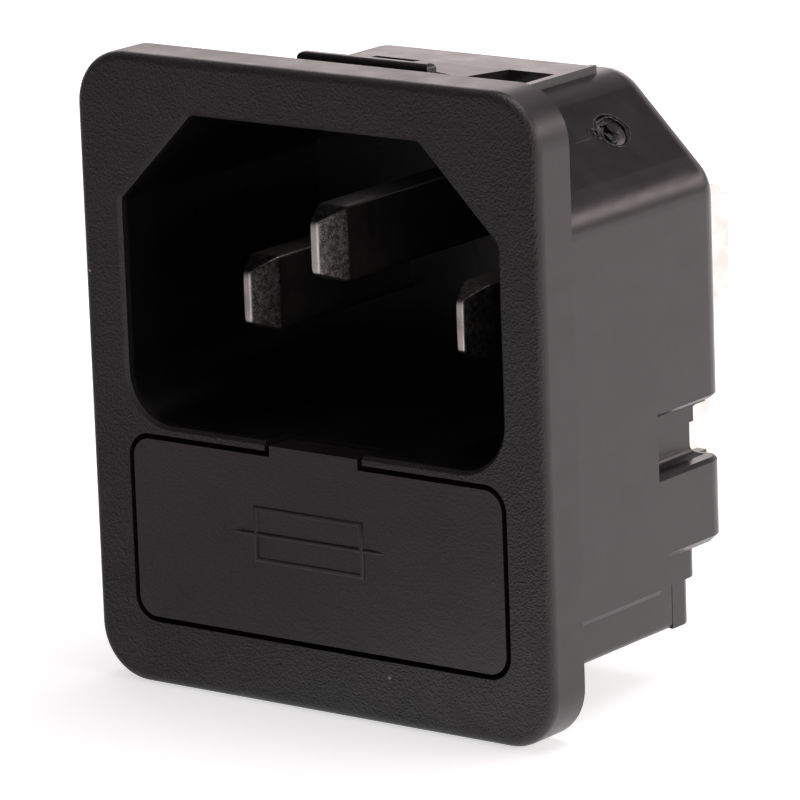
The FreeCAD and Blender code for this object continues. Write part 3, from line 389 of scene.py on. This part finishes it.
clip_nickel = metal_finish("clip_nickel", (0.74, 0.71, 0.67, 1), (0.55, 0.52, 0.48, 1), 0.25)
rivet_brass = metal_finish("rivet_brass", (0.75, 0.55, 0.27, 1), (0.5, 0.36, 0.18, 1), 0.3)
for node in ("line_link", "left_fuse_clip", "right_fuse_clip"):
    dress_node(node, clip_nickel)
for node in ("left_clip_rivet", "right_clip_rivet"):
    dress_node(node, rivet_brass)


# ---- contact pins ------------------------------------------------------------------------------
# Flat nickel-plated brass pins and the line's tab. The pins' ends are coined to a narrow end face
# with four long bevels, made as a row of rounded rectangles that shrink towards the tip. Painted
# shade darkens them in the cavity: lighter on the end face, flecked on the nose, darkest towards the
# base, and full colour behind it.

NOSE_PROUD, NOSE_LENGTH = 0.6 * MM, 1.68 * MM
LOW_TIP, EARTH_AHEAD = 1.0 * MM, 3 * MM
EARTH_ABOVE = 5.76 * MM
# Depths along the pins: the blade's end, where the pins' painted shade starts to fade out, and a
# plane inside the base.
BLADE_END, PAINTED_SHADE_ENDS, BASE_INSIDE = 12 * MM, 14 * MM, 15 * MM
NOSE_LAYERS, NOSE_POINTS = 16, 72
SHARP_FROM = math.radians(20)


def pin_painted_shade(tree, place, speckle):
    """Painted shade along a pin in the cavity: lighter end face, flecked nose, darker towards the
    base, and none behind it.

    The depth is measured as if the earth pin, above the other two, were no further forward.
    """
    end_face, nose_dark, nose_light, shaft_front, shaft_base = 0.6, 0.07, 0.29, 0.36, 0.12
    axes = add_node(tree, "ShaderNodeSeparateXYZ", Vector=place).outputs
    is_earth = calculate(tree, "GREATER_THAN", axes[2], EARTH_ABOVE)
    along = weighed(tree, [(axes[1], 1.0), (is_earth, EARTH_AHEAD)])
    patch = noise(tree, place, scale=3500.0, detail=4.0)
    fleck = weighed(tree, [(patch, 0.5), (speckle, 0.5)])
    flecked = rescale(tree, fleck, 0.44, 0.6, nose_dark, nose_light)
    darker_deeper = rescale(tree, along, LOW_TIP + 2 * MM, LOW_TIP + 8 * MM, shaft_front, shaft_base)
    nose_back = LOW_TIP + NOSE_LENGTH
    shaft = rescale(tree, along, nose_back - 0.06 * MM, nose_back + 0.09 * MM, flecked, darker_deeper)
    end_face_lighter = rescale(tree, along, LOW_TIP + 0.15 * MM, LOW_TIP + 0.02 * MM, shaft, end_face)
    return rescale(tree, axes[1], PAINTED_SHADE_ENDS, BASE_INSIDE, end_face_lighter, 1.0)


def skin(name, rings, material, body, looped=False):
    """A closed smooth piece through rings of points: looped, or with its end rings filled."""
    count, around = rings.shape[:2]
    number = np.arange(count * around).reshape(count, around)
    lower, upper = (number, np.roll(number, -1, 0)) if looped else (number[:-1], number[1:])
    quads = np.stack([lower, np.roll(lower, -1, 1), np.roll(upper, -1, 1), upper], -1)
    faces = quads.reshape(-1, 4).tolist()
    if not looped:
        faces += [number[0].tolist(), number[-1].tolist()]
    mesh = bpy.data.meshes.new(name)
    mesh.from_pydata(rings.reshape(-1, 3).tolist(), [], faces)
    shell = bmesh.new()
    shell.from_mesh(mesh)
    bmesh.ops.recalc_face_normals(shell, faces=shell.faces)
    shell.to_mesh(mesh)
    shell.free()
    mesh.polygons.foreach_set("use_smooth", [True] * len(mesh.polygons))
    mesh.materials.append(material)
    piece = bpy.data.objects.new(name, mesh)
    bpy.context.collection.objects.link(piece)
    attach(piece, body)
    return piece


def nose_rings(centre, half_width, half_height, tip):
    """Almost square-cornered rectangles along the pin, each a superellipse of a high exponent.

    Behind a narrow end face the half width and half height grow by powers of the depth close to
    one, so that the nose has four almost flat bevels; its first rings round the end face's edge,
    and the corners' exponent grows from 4 at the tip to 14 at the back of the nose.
    """
    end_wide, end_tall = 0.2, 0.66
    along = np.concatenate([[0, 0, 0, 0.008, 0.022, 0.04], np.linspace(0.07, 1, NOSE_LAYERS),
                            [1.03, (BASE_INSIDE - tip) / NOSE_LENGTH]])
    rounding = [0.05, 0.5, 0.82, 0.94, 0.985]
    fill = np.concatenate([rounding, np.ones(len(along) - len(rounding))])
    way = np.clip(along, 0, 1)
    corner = (2 / (4 + 10 * way ** 0.4))[:, None]
    wide = half_width * (end_wide + (1 - end_wide) * way ** 0.93) * fill
    tall = half_height * (end_tall + (1 - end_tall) * way ** 0.85) * fill
    angle = np.linspace(0, 2 * math.pi, NOSE_POINTS, endpoint=False) + 0.01
    cosine, sine = np.cos(angle), np.sin(angle)
    across = wide[:, None] * np.sign(cosine) * np.abs(cosine) ** corner
    up = tall[:, None] * np.sign(sine) * np.abs(sine) ** corner
    depth = np.repeat(tip + along * NOSE_LENGTH, len(angle)).reshape(across.shape)
    return np.stack([centre[0] + across, depth, centre[1] + up], -1)


def coin_pin(node):
    """A pin with a coined nose in front of a plane inside its base, and the CAD tab behind it."""
    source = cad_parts[node].data
    points = np.empty(3 * len(source.vertices))
    source.vertices.foreach_get("co", points)
    points = points.reshape(-1, 3)
    blade = points[points[:, 1] < BLADE_END]
    (left, _, bottom), (right_side, _, top) = blade.min(0), blade.max(0)
    rings = nose_rings(((left + right_side) / 2, (bottom + top) / 2), (right_side - left) / 2,
                       (top - bottom) / 2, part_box(node)[0][1] - NOSE_PROUD)
    pin = skin(node + "_coined", rings, pin_nickel, "housing")
    rear = bmesh.new()
    rear.from_mesh(source)
    cut = bmesh.ops.bisect_plane(rear, geom=rear.verts[:] + rear.edges[:] + rear.faces[:],
                                 plane_co=(0, BASE_INSIDE, 0), plane_no=(0, -1, 0),
                                 clear_outer=True)
    edges = [item for item in cut["geom_cut"] if isinstance(item, bmesh.types.BMEdge)]
    bmesh.ops.holes_fill(rear, edges=edges)
    rear.from_mesh(pin.data)
    rear.to_mesh(pin.data)
    rear.free()
    pin.data.set_sharp_from_angle(angle=SHARP_FROM)
    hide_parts(node)


pin_nickel = metal_finish("pin_nickel", (0.86, 0.83, 0.79, 1), (0.7, 0.66, 0.61, 1), 0.36,
                          bump_strength=0.5, painted_shade_by_place=pin_painted_shade)
dress_node("line_tab", pin_nickel)
for node in ("neutral_pin", "earth_pin", "line_pin"):
    coin_pin(node)


# ---- fuses -------------------------------------------------------------------------------------
# One fuse in use and one spare: a drawn tube of clear glass with two pressed caps of nickelled
# brass and a thin tinned wire between them.

def glass_finish(name):
    """Clear glass with a slight uneven haze and the faint ripple of a drawn tube."""
    material, tree, shader, place = start_material(name)
    shader.inputs["Transmission Weight"].default_value = 1.0
    haze = noise(tree, place, scale=500.0, detail=3.0)
    finish_shader(tree, shader, blend(tree, haze, (0.9, 0.95, 0.94, 1), (0.97, 0.98, 0.98, 1)),
                  rescale(tree, haze, 0.0, 1.0, 0.02, 0.07), haze, 0.2, 0.01 * MM)
    return material


fuse_glass = glass_finish("fuse_glass")
cap_nickel = metal_finish("cap_nickel", (0.76, 0.74, 0.71, 1), (0.62, 0.6, 0.57, 1), 0.2)
wire_tinned = metal_finish("wire_tinned", (0.7, 0.7, 0.7, 1), (0.55, 0.55, 0.55, 1), 0.35)
for prefix in ("fuse", "spare"):
    dress_node(prefix + "_glass", fuse_glass)
    dress_node(prefix + "_left_cap", cap_nickel)
    dress_node(prefix + "_right_cap", cap_nickel)
    dress_node(prefix + "_wire", wire_tinned)


# ---- fuse symbol -------------------------------------------------------------------------------
# The raised sign for a fuse on the drawer's front, moulded in one with it: a ridge of elliptical
# section carried round a rectangle, and another along a line through it, which thins at its ends
# as the square root of one less the eighth power of the way from the middle.

LINE_HALF, LINE_RISE = 0.14 * MM, 0.09 * MM
SIGN_X, SIGN_Z = -0.5 * MM, -7.9 * MM
SIGN_WIDE, SIGN_TALL, SIGN_LINE = 3.47 * MM, 1.4 * MM, 5.15 * MM
SECTION, STEPS = 12, 15
drawer_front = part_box("fuse_drawer")[0][1]
angle = np.linspace(0, 2 * math.pi, SECTION, endpoint=False)
offset, rise = LINE_HALF * np.cos(angle), LINE_RISE * np.sin(angle)
signs = np.array([(-1, -1), (1, -1), (1, 1), (-1, 1)])
outline = np.stack([SIGN_X + signs[:, 0] * (SIGN_WIDE + offset[:, None]),
                    np.repeat(drawer_front - rise, len(signs)).reshape(SECTION, len(signs)),
                    SIGN_Z + signs[:, 1] * (SIGN_TALL + offset[:, None])], -1)
skin("symbol_box", outline, drawer_black, "drawer", looped=True)
along = np.linspace(-1, 1, STEPS)
thin = np.sqrt(np.clip(1 - along ** 8, 0.01, 1))[:, None]
line = np.stack([np.repeat(SIGN_X + along * SIGN_LINE, SECTION).reshape(STEPS, SECTION),
                 drawer_front - thin * rise, SIGN_Z + thin * offset], -1)
skin("symbol_line", line, drawer_black, "drawer")


# ---- moulding gate and flash -------------------------------------------------------------------
# Round the gate on the cut corner stand a torn lip and the snapped sprue, and specks of flash lie
# in the angle between bezel and body. All are the housing's own plastic.

GATE = np.array((10.43, 10.2, 12.72)) * MM
AFT = np.array((0, 1.0, 0))
DOWN = np.array((1, 0, -1)) / math.sqrt(2)
OUT = np.array((1, 0, 1)) / math.sqrt(2)
# Each scrap's place from the gate and its half sizes, both in millimetres aft, down the cut
# corner and out of it.
SCRAPS = (((-0.15, -0.05, 0.02), (0.42, 0.2, 0.2)), ((0.12, 0.22, 0.0), (0.3, 0.13, 0.16)),
          ((-0.3, -0.42, 0.0), (0.3, 0.1, 0.13)), ((-0.62, 0.3, 0.0), (0.2, 0.28, 0.14)),
          ((-0.45, 0.68, 0.0), (0.3, 0.12, 0.12)), ((-1.1, -0.15, 0.0), (0.16, 0.2, 0.1)),
          ((-1.35, -0.35, 0.0), (0.16, 0.09, 0.07)), ((-1.5, -0.1, 0.0), (0.1, 0.13, 0.07)),
          ((-1.3, 0.25, 0.0), (0.13, 0.1, 0.07)), ((-1.7, -0.45, 0.0), (0.09, 0.06, 0.05)),
          ((-2.6, 0.1, -0.01), (1.0, 0.025, 0.03)))
FLASH_SIZE, FLASH_DEPTH, FLASH_SEED = (0.07, 0.12, 0.09), 0.06, 20
FLASH_PLACES = ((11.9, 11.25), (13.0, 10.1), (13.4, 8.95), (8.3, 14.95))
STUB_SEED = 40
LIP_STEPS, LIP_POINTS = 90, 8
BURR_ROWS, BURR_COLUMNS, POLE_GAP = 12, 20, 0.05


def gate_lip(name, length, height, thick, lift, wobble, start, end):
    """A ridge of round section along part of an oval round the gate, from one angle to another.

    Its way and its thickness waver by sums of sines of the angle, and it tapers at both ends.
    """
    turn = np.linspace(start, end, LIP_STEPS)
    waver = 1 + wobble * (np.sin(5 * turn + 1) + 0.6 * np.sin(11 * turn) + 0.4 * np.sin(23 * turn))
    core = (GATE + (length * np.cos(turn) * waver)[:, None] * AFT
            + (height * np.sin(turn) * waver)[:, None] * DOWN)
    taper = np.sqrt(np.clip(np.sin(math.pi * (turn - start) / (end - start)), 0.02, 1))
    away = np.cos(turn)[:, None] * AFT + np.sin(turn)[:, None] * DOWN
    section = np.linspace(0, 2 * math.pi, LIP_POINTS, endpoint=False)[None, :, None]
    size = (thick * taper * (1 + 0.35 * np.sin(17 * turn)))[:, None, None]
    rings = (core[:, None] + np.cos(section) * away[:, None] * size
             + (np.sin(section) * size + lift) * OUT)
    skin(name, rings, housing_black, "housing")


def burr(name, place, size, seed, tear=0.28):
    """A torn scrap: a ball whose radius varies with a product of sines of its own angles.

    Its half sizes, in millimetres, run aft, down the cut corner and out of it.
    """
    waves = np.random.default_rng(seed).uniform(1.5, 5.0, 4)
    rows = np.linspace(POLE_GAP, math.pi - POLE_GAP, BURR_ROWS)[:, None]
    columns = np.linspace(0, 2 * math.pi, BURR_COLUMNS, endpoint=False)[None, :]
    radius = 1 + tear * np.sin(np.round(waves[0]) * columns + waves[1]) * np.sin(
        waves[2] * rows + waves[3])
    ball = np.stack([radius * np.sin(rows) * np.cos(columns),
                     radius * np.sin(rows) * np.sin(columns),
                     radius * np.cos(rows) * np.ones_like(columns)], -1)
    skin(name, place + ball * np.array(size) * MM @ np.stack([AFT, DOWN, OUT]),
         housing_black, "housing")


gate_lip("gate_lip", 1.3 * MM, 1.05 * MM, 0.05 * MM, 0.0, 0.012, -2.9, 1.2)
gate_lip("gate_lip_lower", 1.2 * MM, 1.1 * MM, 0.06 * MM, 0.0, 0.02, 1.5, 3.2)
gate_lip("gate_ripple", 0.98 * MM, 0.8 * MM, 0.04 * MM, 0.05 * MM, 0.03, -2.6, 0.9)
burr("gate_stub", GATE - 0.26 * MM * OUT, (1.34, 1.12, 0.3), STUB_SEED, tear=0.04)
for index, ((aft, down, out), size) in enumerate(SCRAPS):
    burr("gate_scrap_%d" % index, GATE + (aft * AFT + down * DOWN + out * OUT) * MM, size, index)
for index, (x, z) in enumerate(FLASH_PLACES):
    burr("flash_%d" % index, np.array((x, FLASH_DEPTH, z)) * MM, FLASH_SIZE, FLASH_SEED + index)
